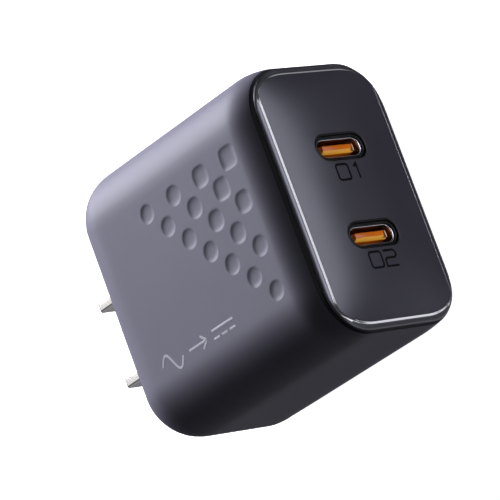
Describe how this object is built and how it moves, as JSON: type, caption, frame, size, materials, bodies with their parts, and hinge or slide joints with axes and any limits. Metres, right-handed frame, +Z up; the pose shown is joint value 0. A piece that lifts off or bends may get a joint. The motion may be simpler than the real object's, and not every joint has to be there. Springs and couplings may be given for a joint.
{
  "type": "usb wall charger",
  "caption": "Compact rounded wall charger with USB-C ports in a glossy front panel and a plug whose blades fold into the back.",
  "frame": {"origin": "centre of the outlet face, the flat back face the plug blades stand out of", "axes": "+X along the row of ports, +Y out of the outlet face along the extended blades, +Z up through the dimpled side; the charger lies on its plain side"},
  "size_m": [0.0434, 0.0581, 0.0292],
  "materials": {
    "body_plastic": "soft satin",
    "panel_plastic": "gloss",
    "trim_plastic": "gloss",
    "shell_steel": "satin",
    "tongue_plastic": "gloss",
    "contact_gold": "polished",
    "board_green": "satin",
    "frame_plastic": "matte",
    "screw_steel": "satin",
    "blade_nickel": "satin plate",
    "spring_bronze": "satin",
    "spring_steel": "satin",
    "fuse_ceramic": "satin",
    "chip_epoxy": "matte",
    "capacitor_yellow": "gloss",
    "capacitor_blue": "gloss",
    "core_ferrite": "matte",
    "choke_paint": "satin",
    "winding_copper": "enamelled",
    "can_sleeve": "satin",
    "tape_yellow": "satin",
    "can_aluminium": "satin",
    "pad_silicone": "matte",
    "spreader_aluminium": "satin",
    "film_fishpaper": "matte"
  },
  "bodies": {
    "body": {"housing": "body_plastic", "front_panel": "panel_plastic", "port_trim_1": "trim_plastic", "port_trim_2": "trim_plastic", "usb_shell_1": "shell_steel", "usb_shell_2": "shell_steel", "usb_tongue_1": "tongue_plastic", "usb_tongue_2": "tongue_plastic", "usb_contacts_1": "contact_gold", "usb_contacts_2": "contact_gold", "port_board": "board_green", "plug_cradle": "frame_plastic", "carrier_retainer": "frame_plastic", "retainer_screws": "screw_steel", "contact_spring_1": "spring_bronze", "contact_spring_2": "spring_bronze", "detent_spring": "spring_steel", "input_board": "board_green", "main_board": "board_green", "fuse": "fuse_ceramic", "bridge_rectifier": "chip_epoxy", "x_capacitor": "capacitor_yellow", "y_capacitor": "capacitor_blue", "choke_core": "choke_paint", "choke_winding": "winding_copper", "bulk_capacitors": "can_sleeve", "transformer_core": "core_ferrite", "transformer_bobbin": "frame_plastic", "transformer_winding": "tape_yellow", "switch_chip": "chip_epoxy", "controller_chip": "chip_epoxy", "port_chips": "chip_epoxy", "output_capacitors": "can_aluminium", "thermal_pads": "pad_silicone", "heat_spreader": "spreader_aluminium", "insulation_film": "film_fishpaper"},
    "plug": {"plug_carrier": "body_plastic", "blade_1": "blade_nickel", "blade_2": "blade_nickel"}
  },
  "joints": [
    {"name": "plug_fold", "type": "hinge", "parent": "body", "child": "plug", "pos_m": [0, -0.00345, 0.00075], "axis": [-1, 0, 0], "range_deg": [0, 90]}
  ]
}
